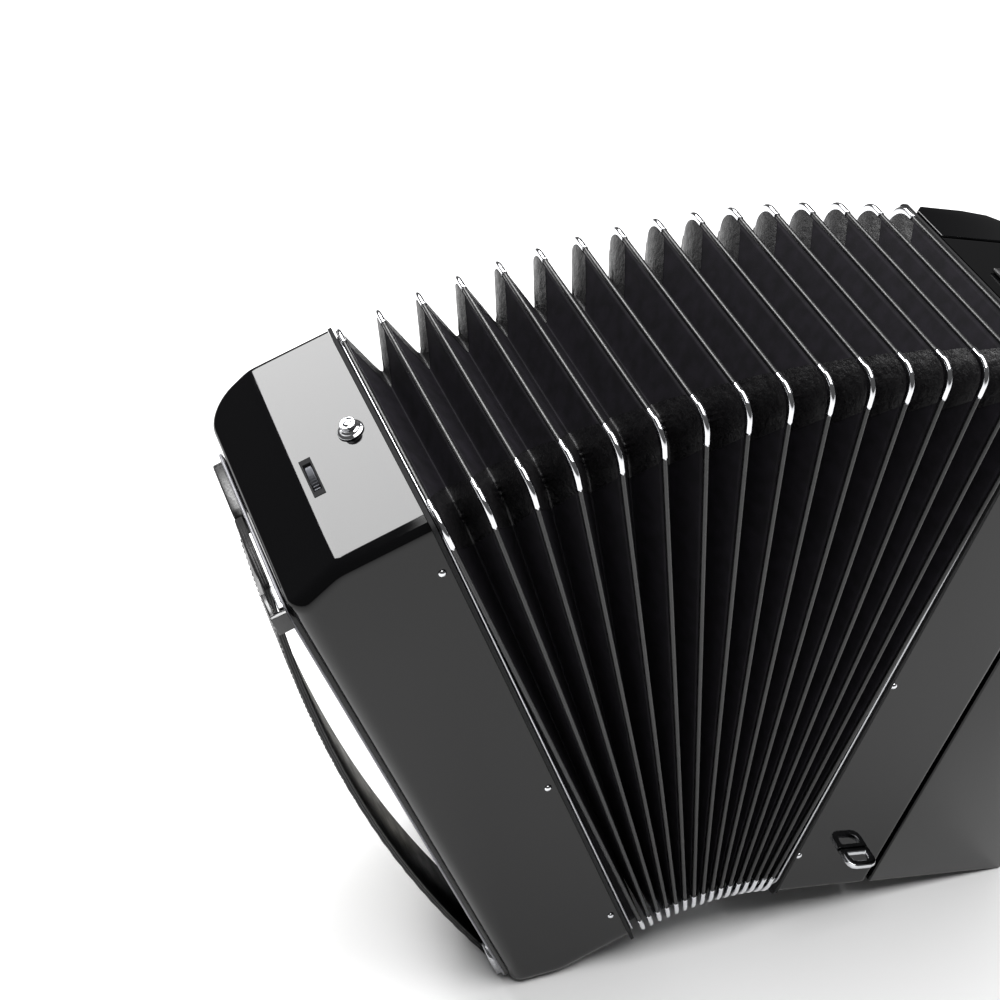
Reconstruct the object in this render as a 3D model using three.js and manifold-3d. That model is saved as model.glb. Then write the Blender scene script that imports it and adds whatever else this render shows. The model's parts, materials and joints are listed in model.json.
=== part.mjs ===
// A 41-key, 120-bass piano accordion with its bellows fanned open, standing on
// the lower edges of its two boxes.  Millimetres, +Z up.
// +X is the bass side, -X the keyboard side, -Y the audience, +Y the player.
//
// Everything hangs off one line, the fan axis, which runs along Y below the
// closed lower end of the bellows.  A "station" is a flat frame of reference
// turned about that line: inside it, z is the distance from the fan axis,
// y is depth and x is the distance out of the station's plane.

import * as THREE from 'three';
import { mergeVertices } from 'three/addons/utils/BufferGeometryUtils.js';
import Module from 'manifold-3d';

const wasm = await Module();
wasm.setup();

// ---- driving dimensions --------------------------------------------------
const LEAN = 7.316;             // whole instrument leans this far to the bass side, degrees
const FOLDS = 16;              // ridge frames of the bellows
const FOLD_ANGLE = 2.487;      // opening between neighbouring folds, degrees
const FIRST_FOLD = 18.655;     // fold beside the bass box, degrees from upright
const BOX_ANGLE = 17.9;        // bass box; the treble box is the mirror of it
const R_LOW = 143;             // fan axis to the lower end of boxes and folds
const R_HIGH = 613;            // fan axis to the upper end
const R_MID = (R_LOW + R_HIGH) / 2;
const HEIGHT = R_HIGH - R_LOW;

const FOLD_DEPTH = 190;
const FOLD_THICK = 4;
const FOLD_WALL = 27;
const FOLD_CORNER = 14;

const BOX_DEPTH = 181;
const BOX_GAP = 13.8;          // station plane to the open face of a box
const WALL = 4;
const BASS_THICK = 88.5;
const BEVEL_START = 50;        // where the end faces begin to slope away
const BEVEL_DROP = 14;
const TREBLE_THICK = 85;
const GRILLE_BACK = -56;       // y where the grille meets the treble casing

const PLATE_THICK = 3.2;
const BUTTON_ROWS = 6;
const BUTTON_COLUMNS = 20;
const BUTTON_ROW_PITCH = 10.5;
const BUTTON_COLUMN_PITCH = 16.4;
const BUTTON_RADIUS = 3.7;

const STRAP_RISE = 20;         // how far the hand strap bows away from the plate
const STRAP_THICK = 5;

const KEY_PITCH = 19.2;        // one white key
const KEY_LENGTH = 126;
const KEY_TOP = 45;            // y of the white keys' playing surface
const BLACK_TOP = 34;
const AXLE_OUT = 10;           // key axle, out from the casing wall
const AXLE_Y = 64;
const CLEAR = 0.3;             // play between pieces that touch

const RAD = Math.PI / 180;

// ---- materials -----------------------------------------------------------
const paint = (color, roughness, metalness = 0) =>
  new THREE.MeshStandardMaterial({ color, roughness, metalness });

const LOOKS = {
  lacquer: () => paint(0x17171a, 0.08),
  cloth: () => paint(0x1f1e22, 0.8),
  felt: () => paint(0x2a292c, 0.95),
  leather: () => paint(0x1b1a1c, 0.5),
  chrome: () => paint(0xd9dadc, 0.12, 1),
  steel: () => paint(0x8f9196, 0.35, 1),
  knurl: () => paint(0x4a4b4f, 0.5),
  ivory: () => paint(0xf1efe8, 0.2),
  ebony: () => paint(0x131315, 0.2),
  wood: () => paint(0xb08a5a, 0.6),
  trim: () => paint(0xc9cacd, 0.25, 1),
};

// ---- solids --------------------------------------------------------------
function toSolid(geometry) {
  const bare = geometry.clone();
  bare.deleteAttribute('normal');
  bare.deleteAttribute('uv');
  const welded = mergeVertices(bare, 1e-4);
  return new wasm.Manifold(new wasm.Mesh({
    numProp: 3,
    vertProperties: new Float32Array(welded.attributes.position.array),
    triVerts: new Uint32Array(welded.index.array),
  }));
}

function toGeometry(solid) {
  const mesh = solid.getMesh();
  const geometry = new THREE.BufferGeometry();
  const points = new Float32Array(mesh.vertProperties);
  geometry.setAttribute('position', new THREE.BufferAttribute(points, 3));
  geometry.setIndex(new THREE.BufferAttribute(new Uint32Array(mesh.triVerts), 1));
  geometry.computeVertexNormals();
  return geometry;
}

const union = (first, ...rest) => rest.reduce((sum, s) => sum.add(s), first);
const carve = (first, ...rest) => rest.reduce((left, s) => left.subtract(s), first);

// A box given by its lowest and highest corner.
function block(x0, x1, y0, y1, z0, z1) {
  const box = new THREE.BoxGeometry(x1 - x0, y1 - y0, z1 - z0);
  return toSolid(box.translate((x0 + x1) / 2, (y0 + y1) / 2, (z0 + z1) / 2));
}

// A round bar along X.
function bar(x0, x1, y, z, radius, sides) {
  const cylinder = new THREE.CylinderGeometry(radius, radius, x1 - x0, sides);
  cylinder.rotateZ(-Math.PI / 2);
  return toSolid(cylinder.translate((x0 + x1) / 2, y, z));
}

function outline(points) {
  return new THREE.Shape(points.map(([x, y]) => new THREE.Vector2(x, y)));
}

// A rectangle from (a0, b0) to (a1, b1) whose four corner radii start at the
// lowest corner and run anticlockwise.
function rounded(a0, a1, b0, b1, radii, segments = 3) {
  const corners = [[a0, b0, 180], [a1, b0, 270], [a1, b1, 0], [a0, b1, 90]];
  const points = [];
  corners.forEach(([a, b, start], i) => {
    const r = radii[i];
    const steps = r > 0 ? segments : 0;
    const ca = a + (a === a0 ? r : -r);
    const cb = b + (b === b0 ? r : -r);
    for (let step = 0; step <= steps; step += 1) {
      const turn = (start + (steps ? (90 * step) / steps : 0)) * RAD;
      points.push(r > 0 ? [ca + r * Math.cos(turn), cb + r * Math.sin(turn)] : [a, b]);
    }
  });
  return points;
}

function extruded(points, from, to, holes = []) {
  const shape = outline(points);
  holes.forEach((hole) => shape.holes.push(outline(hole)));
  const options = { depth: to - from, bevelEnabled: false, steps: 1 };
  return new THREE.ExtrudeGeometry(shape, options).translate(0, 0, from);
}

const ALONG_X = new THREE.Matrix4().set(
  0, 0, 1, 0,
  1, 0, 0, 0,
  0, 1, 0, 0,
  0, 0, 0, 1,
);
const ALONG_Y = new THREE.Matrix4().set(
  0, 1, 0, 0,
  0, 0, 1, 0,
  1, 0, 0, 0,
  0, 0, 0, 1,
);

// Outline in y and z, pushed along x.
const alongX = (points, from, to, holes) =>
  toSolid(extruded(points, from, to, holes).applyMatrix4(ALONG_X));
// Outline in x and y, pushed along z.
const alongZ = (points, from, to, holes) => toSolid(extruded(points, from, to, holes));
// Outline in z and x, pushed along y.
const alongY = (points, from, to, holes) =>
  toSolid(extruded(points, from, to, holes).applyMatrix4(ALONG_Y));

// ---- the scene graph -----------------------------------------------------
const accordion = new THREE.Group();

function station(angle) {
  const group = new THREE.Group();
  group.rotation.y = (angle + LEAN) * RAD;
  accordion.add(group);
  return group;
}

function place(group, name, solid, look) {
  const mesh = new THREE.Mesh(toGeometry(solid), LOOKS[look]());
  mesh.name = name;
  group.add(mesh);
}

// ---- bellows: one flat ring for every ridge ------------------------------
function foldRing() {
  const half = FOLD_DEPTH / 2;
  const corner = [FOLD_CORNER, FOLD_CORNER, FOLD_CORNER, FOLD_CORNER];
  const outer = rounded(-half, half, R_LOW, R_HIGH, corner);
  const inset = half - FOLD_WALL;
  const hole = rounded(-inset, inset, R_LOW + FOLD_WALL, R_HIGH - FOLD_WALL, [5, 5, 5, 5], 1);
  return alongX(outer, -FOLD_THICK / 2, FOLD_THICK / 2, [hole]);
}

for (let k = 0; k < FOLDS; k += 1) {
  const number = String(k + 1).padStart(2, '0');
  place(station(FIRST_FOLD - FOLD_ANGLE * k), `fold_${number}`, foldRing(), 'cloth');
}

// The gasket frame between a box and its bellows.  side is +1 for the bass.
function bellowsFrame(side) {
  const outer = rounded(-91, 91, R_LOW + 0.5, R_HIGH - 0.5, [8, 8, 8, 8], 2);
  const hole = rounded(-72, 72, R_LOW + 20, R_HIGH - 20, [5, 5, 5, 5], 1);
  const inner = BOX_GAP - 2.9;
  const faces = [side * inner, side * (BOX_GAP - CLEAR)].sort((a, b) => a - b);
  return alongX(outer, faces[0], faces[1], [hole]);
}

// ---- bass box ------------------------------------------------------------
// The box is the common part of a rounded plan pushed along z and a side
// outline, with its sloping ends, pushed along y.
function bassForm(inset, openEnd) {
  const x0 = BOX_GAP + openEnd;
  const x1 = BOX_GAP + BASS_THICK - inset;
  const y1 = BOX_DEPTH / 2 - inset;
  const plan = rounded(x0, x1, -y1, y1, [0, 28 - inset, 9 - inset, 0], 4);
  const knee = BOX_GAP + BEVEL_START - inset * 0.2;
  const low = R_LOW + inset;
  const high = R_HIGH - inset;
  const side = [
    [low, x0], [high, x0], [high, knee], [high - BEVEL_DROP, x1],
    [low + BEVEL_DROP, x1], [low, knee],
  ];
  return alongZ(plan, R_LOW - 5, R_HIGH + 5).intersect(alongY(side, -100, 100));
}

const WHEEL_X = BOX_GAP + 46;
const WHEEL_Y = 15.5;
const WHEEL_RADIUS = 20;
const WHEEL_Z = R_HIGH - 18.7;
const PLATE_X = BOX_GAP + BASS_THICK + CLEAR;
const FACE_X = PLATE_X + PLATE_THICK;

function bassCasing() {
  const window = block(FACE_X - 20, FACE_X, -61, 78, 175, 580);
  const slot = block(WHEEL_X - 3.3, WHEEL_X + 3.3, WHEEL_Y - 15.7, WHEEL_Y + 15.7, 600, 620);
  return carve(bassForm(0, 0), bassForm(WALL, -1), window, slot);
}

const BANK = { y0: -60, y1: 3, z0: 205, z1: 551 };

function bassPlate() {
  const outer = rounded(-63, 84, R_LOW + 16, R_HIGH - 16, [16, 9, 9, 16], 3);
  const bank = rounded(BANK.y0 - 0.6, BANK.y1 + 0.6, BANK.z0 - 0.6, BANK.z1 + 0.6, [0, 0, 0, 0]);
  const plate = alongX(outer, PLATE_X, FACE_X, [bank]);
  return carve(plate, bar(PLATE_X - 1, FACE_X + 1, -48, 566, 7.5, 16));
}

function buttonBank() {
  const board = block(FACE_X - 11, FACE_X - 1.6, BANK.y0, BANK.y1, BANK.z0, BANK.z1);
  const buttons = [];
  for (let row = 0; row < BUTTON_ROWS; row += 1) {
    const y = -54.8 + row * BUTTON_ROW_PITCH;
    for (let column = 0; column < BUTTON_COLUMNS; column += 1) {
      const z = R_MID + (column - 9.5) * BUTTON_COLUMN_PITCH + (row - 2.5) * 3.4;
      buttons.push(bar(FACE_X - 3, FACE_X + 5, y, z, BUTTON_RADIUS, 6));
    }
  }
  return board.add(wasm.Manifold.union(buttons));
}

function airButton() {
  const cap = bar(FACE_X - 12, FACE_X + 4.5, -48, 566, 7, 16);
  return cap.add(bar(FACE_X - 14, FACE_X - 11, -48, 566, 9, 16));
}

// A strip that bows away from the plate, an arc in z and x.
function handStrap() {
  const z0 = R_LOW + 19;
  const z1 = R_HIGH - 19;
  const steps = 14;
  const inner = [];
  const outer = [];
  for (let i = 0; i <= steps; i += 1) {
    const u = i / steps;
    const rise = STRAP_RISE * 4 * u * (1 - u);
    inner.push([z0 + (z1 - z0) * u, FACE_X + CLEAR + rise]);
    outer.unshift([z0 + (z1 - z0) * u, FACE_X + CLEAR + STRAP_THICK + rise]);
  }
  return alongY([...outer, ...inner], 2, 60);
}

function strapWheel() {
  const disc = bar(WHEEL_X - 2.4, WHEEL_X + 2.4, WHEEL_Y, WHEEL_Z, WHEEL_RADIUS, 28);
  return disc.add(bar(WHEEL_X - 9, WHEEL_X + 15, WHEEL_Y, WHEEL_Z, 3, 10));
}

// The snap stud on an end face; up is +1 on the upper end.
function snapStud(up) {
  const end = up > 0 ? R_HIGH : R_LOW;
  const x = BOX_GAP + 14.7;
  const profile = [[0, 0], [8, 0], [8, 1.2], [4.4, 2], [3.6, 4.6], [4.4, 6], [2.4, 7], [0, 7.2]];
  const points = profile.map(([r, h]) => new THREE.Vector2(r, h));
  const lathe = new THREE.LatheGeometry(points, 14);
  lathe.rotateX(up * Math.PI / 2);
  return toSolid(lathe.translate(x, -5, end + up * CLEAR));
}

// A comb of reed blocks: a base board with four fins reaching out of the box.
function reedComb(side, base, tip, z0, z1) {
  const points = [[base, 52], [base - 8, 52]];
  for (let fin = 3; fin >= 0; fin -= 1) {
    const y = -48 + fin * 26;
    points.push([base - 8, y + 18], [tip, y + 18], [tip, y], [base - 8, y]);
  }
  points.push([base - 8, -50], [base, -50]);
  const shape = points.map(([x, y]) => [side * x, y]);
  return alongZ(side > 0 ? shape : shape.reverse(), z0, z1);
}

const bass = station(BOX_ANGLE);
place(bass, 'bass_casing', bassCasing(), 'lacquer');
place(bass, 'bass_bellows_frame', bellowsFrame(1), 'felt');
place(bass, 'bass_bottom_plate', bassPlate(), 'lacquer');
place(bass, 'bass_button_bank', buttonBank(), 'ivory');
place(bass, 'bass_reed_block', reedComb(1, BOX_GAP + 44, BOX_GAP - 22, 215, 545), 'wood');
place(bass, 'air_button', airButton(), 'ivory');
place(bass, 'hand_strap', handStrap(), 'leather');
place(bass, 'strap_wheel', strapWheel(), 'knurl');
place(bass, 'strap_stud_top', snapStud(1), 'chrome');
place(bass, 'strap_stud_bottom', snapStud(-1), 'chrome');

// Fittings of the hand strap's upper and lower ends on the outer face.
const GUARD = rounded(-56, -2, 577, R_HIGH - 17, [5, 5, 7, 7], 3);
place(bass, 'strap_guard', alongX(GUARD, FACE_X + CLEAR, FACE_X + 7.5, []), 'ebony');
const HOOK_LEG = alongX(rounded(80.3, 85, 583, 597, [2, 0, 0, 2], 2), FACE_X + CLEAR, FACE_X + 10, []);
const HOOK_ARM = alongX(rounded(63, 85, 583, 597, [2, 4, 4, 2], 3), FACE_X + 7.4, FACE_X + 10, []);
place(bass, 'strap_bracket', HOOK_LEG.add(HOOK_ARM), 'ebony');
const ANCHOR = rounded(60.5, 79.8, 585, R_HIGH - 16, [0, 0, 0, 0]);
place(bass, 'strap_anchor', alongX(ANCHOR, FACE_X + CLEAR, FACE_X + 4, []), 'trim');
const CLAMP = rounded(62.5, 80, R_LOW + 21, R_LOW + 46, [2, 2, 7, 7], 3);
place(bass, 'strap_clamp_bottom', alongX(CLAMP, FACE_X + CLEAR, FACE_X + 5, []), 'trim');

// ---- treble box ----------------------------------------------------------
// The same kind of box, mirrored, cut short at the front where the grille is.
const OUT_X = -(BOX_GAP + TREBLE_THICK);

function trebleCasing() {
  const y1 = BOX_DEPTH / 2;
  const plan = rounded(OUT_X, -BOX_GAP, GRILLE_BACK, y1, [0, 0, 0, 5], 2);
  const body = alongZ(plan, R_LOW, R_HIGH);
  const x0 = OUT_X + WALL;
  const hollow = block(x0, 0, GRILLE_BACK + WALL, y1 - WALL, R_LOW + WALL, R_HIGH - WALL);
  const tones = [];
  for (let i = 0; i < 6; i += 1) {
    const z = R_LOW + 50 + i * 64;
    tones.push(block(-80, -40, GRILLE_BACK - 1, GRILLE_BACK + WALL + 1, z, z + 44));
  }
  return carve(body, hollow, ...tones);
}

const TABS = 3;
const tabZ = (i) => R_MID + (i - 1) * 34;

// The grille is a shell pushed along z: its front curls over towards the keys.
function grille() {
  const back = GRILLE_BACK - CLEAR;
  const front = -94;
  const plan = (d) => [
    [-BOX_GAP - d, back + (d > 0 ? 1 : 0)],
    [OUT_X + d, back + (d > 0 ? 1 : 0)],
    [OUT_X + d, back - 12 + d * 0.5],
    [OUT_X + 8 + d * 0.8, back - 24 + d * 0.8],
    [OUT_X + 24 + d * 0.5, front + 3 + d],
    [OUT_X + 44, front + d],
    [-BOX_GAP - 6 - d * 0.6, front + d],
    [-BOX_GAP - d, front + 6 + d * 0.6],
  ];
  const shell = alongZ(plan(0), R_LOW, R_HIGH);
  const hollow = alongZ(plan(3), R_LOW + 3, R_HIGH - 3);
  const mouth = block(OUT_X + 3, -BOX_GAP - 3, back - 1, back + 2, R_LOW + 3, R_HIGH - 3);
  const cuts = [];
  for (let i = 0; i < 9; i += 1) {
    const z = R_LOW + 42 + i * 43;
    cuts.push(block(-62, -30, front - 2, front + 6, z, z + 20));
  }
  for (let i = 0; i < TABS; i += 1) {
    cuts.push(block(-97, -75, front - 2, front + 26, tabZ(i) - 9.6, tabZ(i) + 9.6));
  }
  return carve(shell, hollow, mouth, ...cuts);
}

function registerTab(i) {
  const z = tabZ(i);
  const cap = block(-91, -76.5, -91.5, -80, z - 9, z + 9);
  return cap.add(block(-86, -82, -81, -66, z - 7, z + 7));
}

// The keyboard's base board with a cheek at each end.
const BED_OUT = OUT_X - CLEAR;
const BED_END = BED_OUT - 130;

function keyboardBed() {
  const y1 = BOX_DEPTH / 2;
  const board = block(BED_END, BED_OUT, 78, y1, R_LOW, R_HIGH);
  const cheek = [[BED_OUT, 30], [BED_OUT, 80], [BED_END, 80], [BED_END, 44], [BED_END + 8, 38]];
  const low = alongZ(cheek, R_LOW, R_LOW + WALL);
  const high = alongZ(cheek, R_HIGH - WALL, R_HIGH);
  return union(board, low, high);
}

function keyAxle() {
  const rod = new THREE.CylinderGeometry(1.5, 1.5, HEIGHT - 2 * WALL - 1, 10);
  rod.rotateX(Math.PI / 2);
  return toSolid(rod.translate(BED_OUT - AXLE_OUT, AXLE_Y, R_MID));
}

// 24 white keys run from the low F at the upper end down to the high A.
const WHITE_KEYS = 24;
const NOTES = 'FGABCDE';
const SHARP_AFTER = 'FGACD';
const noteOf = (i) => NOTES[i % 7];
const hasSharp = (i) => i >= 0 && i < WHITE_KEYS - 1 && SHARP_AFTER.includes(noteOf(i));
const keyEdge = (i) => R_MID + (WHITE_KEYS / 2 - i) * KEY_PITCH;

// u runs outwards from the casing wall.
const keyBlock = (u0, u1, y0, y1, z0, z1) => block(BED_OUT - u1, BED_OUT - u0, y0, y1, z0, z1);

// The lug under a key straddles the axle.
function keyLug(z0, z1, top) {
  const slot = 1.85;
  const legs = [
    keyBlock(4, AXLE_OUT - slot, top, 70, z0, z1),
    keyBlock(AXLE_OUT + slot, 16, top, 70, z0, z1),
    keyBlock(4, 16, top, AXLE_Y - slot, z0, z1),
  ];
  return union(...legs);
}

function whiteKey(i) {
  const high = keyEdge(i) - 0.3;
  const low = keyEdge(i + 1) + 0.3;
  const tailHigh = hasSharp(i - 1) ? high - 5 : high;
  const tailLow = hasSharp(i) ? low + 5 : low;
  const head = keyBlock(88, 1.5 + KEY_LENGTH, KEY_TOP, 56, low, high);
  const lip = keyBlock(KEY_LENGTH - 2, 1.5 + KEY_LENGTH, 55, 60, low, high);
  const tail = keyBlock(1.5, 89, KEY_TOP, 56, tailLow, tailHigh);
  const middle = (tailLow + tailHigh) / 2;
  return union(head, lip, tail, keyLug(middle - 3.5, middle + 3.5, 54));
}

function blackKey(i) {
  const z = keyEdge(i + 1);
  const body = keyBlock(1.5, 86, BLACK_TOP, 53, z - 4.7, z + 4.7);
  const nose = keyBlock(80, 90, BLACK_TOP - 2, BLACK_TOP + 4, z - 8, z + 8);
  return union(carve(body, nose), keyLug(z - 3.5, z + 3.5, 51));
}

function bank(keys, u, y0, y1, stems) {
  const solids = keys.map(({ solid }) => solid);
  const low = Math.min(...keys.map(({ z }) => z)) - 3;
  const high = Math.max(...keys.map(({ z }) => z)) + 3;
  const rail = keyBlock(u, u + 5, y0, y1, low, high);
  return union(rail, ...solids, ...stems);
}

const treble = station(-BOX_ANGLE);
place(treble, 'treble_casing', trebleCasing(), 'lacquer');
place(treble, 'treble_bellows_frame', bellowsFrame(-1), 'felt');
place(treble, 'treble_grille', grille(), 'lacquer');
const TREBLE_COMB = reedComb(-1, BOX_GAP + 60, BOX_GAP - 26, 200, 560);
place(treble, 'treble_reed_block', TREBLE_COMB, 'wood');
place(treble, 'keyboard_bed', keyboardBed(), 'lacquer');
place(treble, 'key_axle', keyAxle(), 'steel');
for (let i = 0; i < TABS; i += 1) {
  place(treble, `register_tab_${i + 1}`, registerTab(i), 'ivory');
}

const MIDDLE = [4, 11];        // the octave whose keys are separate pieces
const whites = [];
const blacks = [];
for (let i = 0; i < WHITE_KEYS; i += 1) {
  whites.push({ i, z: (keyEdge(i) + keyEdge(i + 1)) / 2, solid: whiteKey(i) });
  if (hasSharp(i)) {
    blacks.push({ i, z: keyEdge(i + 1), solid: blackKey(i) });
  }
}

const inMiddle = ({ i }) => i >= MIDDLE[0] && i < MIDDLE[1];
whites.filter(inMiddle).forEach(({ i, solid }) => {
  place(treble, `key_${noteOf(i).toLowerCase()}`, solid, 'ivory');
});
blacks.filter(inMiddle).forEach(({ i, solid }) => {
  place(treble, `key_${noteOf(i).toLowerCase()}_sharp`, solid, 'ebony');
});

const ENDS = { low: ({ i }) => i < MIDDLE[0], high: ({ i }) => i >= MIDDLE[1] };
for (const [end, wanted] of Object.entries(ENDS)) {
  place(treble, `white_keys_${end}`, bank(whites.filter(wanted), 18, 55, 60, []), 'ivory');
  const sharps = blacks.filter((key) => wanted(key) && !inMiddle(key));
  const stems = sharps.map(({ z }) => keyBlock(27, 32, 52, 60, z - 3, z + 3));
  place(treble, `black_keys_${end}`, bank(sharps, 27, 58.5, 62.5, stems), 'ebony');
}

// Shoulder-strap brackets on the player's side of the casing.
function strapBracket(z) {
  const staple = rounded(-78, -52, 0, 17, [0, 0, 7, 7], 3);
  const eye = rounded(-73, -57, 4, 12, [0, 0, 4, 4], 2);
  const solid = alongZ(staple, z - 2, z + 2, [eye]);
  return solid.translate([0, BOX_DEPTH / 2 + CLEAR, 0]);
}
place(treble, 'shoulder_bracket_top', strapBracket(R_HIGH - 40), 'chrome');
place(treble, 'shoulder_bracket_bottom', strapBracket(R_LOW + 40), 'chrome');

// The upper bellows strap, unsnapped, lies over the end of the treble box and
// hangs down its outer wall.
function bellowsStrap() {
  const inner = [[R_HIGH + CLEAR, -26], [R_HIGH + CLEAR, OUT_X - CLEAR]];
  const end = R_HIGH - 62;
  const points = [
    ...inner, [end, OUT_X - CLEAR], [end, OUT_X - 2.8],
    [R_HIGH + 1, OUT_X - 2.8], [R_HIGH + 2.8, OUT_X - 1], [R_HIGH + 2.8, -26],
  ];
  return alongY(points.reverse(), -15, 5);
}
place(treble, 'bellows_strap', bellowsStrap(), 'leather');

// ---- the origin: middle of the bounding box's bottom ----------------------
const bounds = new THREE.Box3().setFromObject(accordion, true);
const centre = bounds.getCenter(new THREE.Vector3());
accordion.position.set(-centre.x, -centre.y, -bounds.min.z);

export default accordion;
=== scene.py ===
# %% [markdown]
# # A piano accordion with its bellows fanned open
# The instrument stands on the lower edges of its two boxes.  +X is the bass
# side, -X the keyboard side, -Y the audience and +Y the player.  Each section
# makes one piece of the real object, says how it could be made and why this
# way was chosen.  Lengths are worked out in millimetres and turned to metres
# when a mesh is written.

# %% The frame
import json
import bmesh
import bpy
import numpy as np
from mathutils import Matrix, Vector


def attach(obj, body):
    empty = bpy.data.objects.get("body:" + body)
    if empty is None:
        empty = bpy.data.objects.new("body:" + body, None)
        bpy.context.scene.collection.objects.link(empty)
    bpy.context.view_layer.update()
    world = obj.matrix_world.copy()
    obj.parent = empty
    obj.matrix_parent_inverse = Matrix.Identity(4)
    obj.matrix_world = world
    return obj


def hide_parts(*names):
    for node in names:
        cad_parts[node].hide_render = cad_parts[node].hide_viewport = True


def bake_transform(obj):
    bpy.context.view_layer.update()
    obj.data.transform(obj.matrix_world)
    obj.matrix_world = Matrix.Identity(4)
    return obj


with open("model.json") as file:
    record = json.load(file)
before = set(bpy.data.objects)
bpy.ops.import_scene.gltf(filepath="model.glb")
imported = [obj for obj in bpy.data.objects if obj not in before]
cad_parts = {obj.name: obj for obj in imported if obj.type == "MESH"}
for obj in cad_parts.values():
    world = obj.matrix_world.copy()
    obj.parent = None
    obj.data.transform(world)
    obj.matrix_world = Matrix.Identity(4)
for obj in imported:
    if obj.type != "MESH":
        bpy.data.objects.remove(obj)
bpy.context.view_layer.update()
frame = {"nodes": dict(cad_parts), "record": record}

# %% [markdown]
# ## Stations
# Boxes and folds all stand like the sticks of a fan round one line, the fan
# axis.  A station is a flat frame of reference turned about that line: z is
# the distance from the axis, y the depth, x the distance out of its plane.
# Working in stations keeps every formula as simple as it is on a closed
# instrument.

# %% Station coordinates
LEAN = 7.316
FIRST_FOLD = 18.655
FOLD_ANGLE = 2.487
FOLDS = 16
BOX_ANGLE = 17.9
R_LOW = 143.0
R_HIGH = 613.0
R_MID = (R_LOW + R_HIGH) / 2
BOX_GAP = 13.8
FACE_X = BOX_GAP + 92.0
ORIGIN = np.array([-8.6326, -6.4, -98.4561])


def station(angle, x, y, z):
    """Turn (x, y, z) about Y by the station's angle, move to the row frame, in metres."""
    a = np.radians(np.asarray(angle, float) + LEAN)
    x, y, z, a = np.broadcast_arrays(x, y, z, a)
    turned = np.stack([z * np.sin(a) + x * np.cos(a), y, z * np.cos(a) - x * np.sin(a)], -1)
    return (turned + ORIGIN) / 1000


def fold_angle(k):
    return FIRST_FOLD - FOLD_ANGLE * k


tip = station(fold_angle(10), 0, 0, R_HIGH)

# %% [markdown]
# ## From arrays to meshes
# A surface is a grid of points, a whole numpy array at once.  One helper turns
# a grid into faces and another writes the mesh, so each piece below is only
# its formula.

# %% Grid and mesh helpers
def grid_faces(nu, nv, wrap_u=False, wrap_v=False):
    """Four-cornered faces of a grid of nu by nv points, joined round where it wraps."""
    i, j = np.meshgrid(np.arange(nu - (not wrap_u)), np.arange(nv - (not wrap_v)), indexing="ij")
    i, j = i.ravel(), j.ravel()
    i2, j2 = (i + 1) % nu, (j + 1) % nv
    return np.stack([i * nv + j, i2 * nv + j, i2 * nv + j2, i * nv + j2], 1)


def joined(parts):
    """Several (points, faces) as one, each part's face numbers moved past the last."""
    points, faces, start = [], [], 0
    for p, f in parts:
        p = p.reshape(-1, 3)
        points.append(p)
        faces.append(f + start)
        start += len(p)
    return np.concatenate(points), np.concatenate(faces)


def write_mesh(name, points, faces, merge=0.0, outward=True, smooth=True):
    mesh = bpy.data.meshes.new(name)
    mesh.from_pydata(points.reshape(-1, 3).tolist(), [], faces.tolist())
    work = bmesh.new()
    work.from_mesh(mesh)
    if merge:
        bmesh.ops.remove_doubles(work, verts=work.verts, dist=merge)
    if outward:
        bmesh.ops.recalc_face_normals(work, faces=work.faces)
    for face in work.faces:
        face.smooth = smooth
    work.to_mesh(mesh)
    work.free()
    return mesh


def piece(name, mesh, material, body=None, stands_for=()):
    item = bpy.data.objects.new(name, mesh)
    bpy.context.collection.objects.link(item)
    mesh.materials.clear()
    mesh.materials.append(material)
    if body:
        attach(item, body)
    if stands_for:
        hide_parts(*stands_for)
    return item


def finish_edges(item, width, segments=2):
    """Round every sharp edge by width millimetres, and keep the flats flat."""
    bevel = item.modifiers.new("edges", "BEVEL")
    bevel.width = width / 1000
    bevel.segments = segments
    bevel.limit_method = "ANGLE"
    bevel.angle_limit = np.radians(32)
    bevel.harden_normals = True
    return item

# %% [markdown]
# ## The camera
# It looks down at the bass end from behind the player's left shoulder.

# %% Camera
def set_camera(azimuth, elevation, roll, distance, target, lens, shift):
    """Build the axes in the fan's own frame, then turn them by the lean like a station."""
    a, e, r = np.radians([azimuth, elevation, roll])
    back = np.array([np.sin(a) * np.cos(e), -np.cos(a) * np.cos(e), np.sin(e)])
    right = np.cross(-back, [0, 0, 1])
    right /= np.linalg.norm(right)
    up = np.cross(right, -back)
    right, up = np.cos(r) * right + np.sin(r) * up, np.cos(r) * up - np.sin(r) * right
    place = station(0, *(np.array(target) + back * distance))
    turn = np.array([station(0, *v) - station(0, 0, 0, 0) for v in (right, up, back)]).T * 1000
    camera = bpy.data.objects.new("camera", bpy.data.cameras.new("camera"))
    matrix = Matrix(turn.tolist()).to_4x4()
    matrix.translation = Vector(place)
    camera.matrix_world = matrix
    camera.data.lens = lens
    camera.data.sensor_width = 36
    camera.data.shift_x = shift
    bpy.context.collection.objects.link(camera)
    bpy.context.scene.camera = camera
    return camera


camera = set_camera(azimuth=158.239, elevation=41.778, roll=0.928, distance=1177.175,
                    target=(118.643, 0, 495.346), lens=69.19, shift=-0.01)
print("camera at", [round(v, 3) for v in camera.matrix_world.translation])

# %% [markdown]
# ## Finishes
# Each finish starts from the real material.  One helper adds a node with its
# settings and links; the recipes below are short lists of such calls.

# %% Material helpers
def linear(hex_colour):
    """sRGB hex to linear: divide by 12.92 below 0.04045, else ((c + 0.055) / 1.055) ** 2.4."""
    c = np.array([int(hex_colour[i:i + 2], 16) / 255 for i in (1, 3, 5)])
    return (*np.where(c <= 0.04045, c / 12.92, ((c + 0.055) / 1.055) ** 2.4), 1.0)


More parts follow.
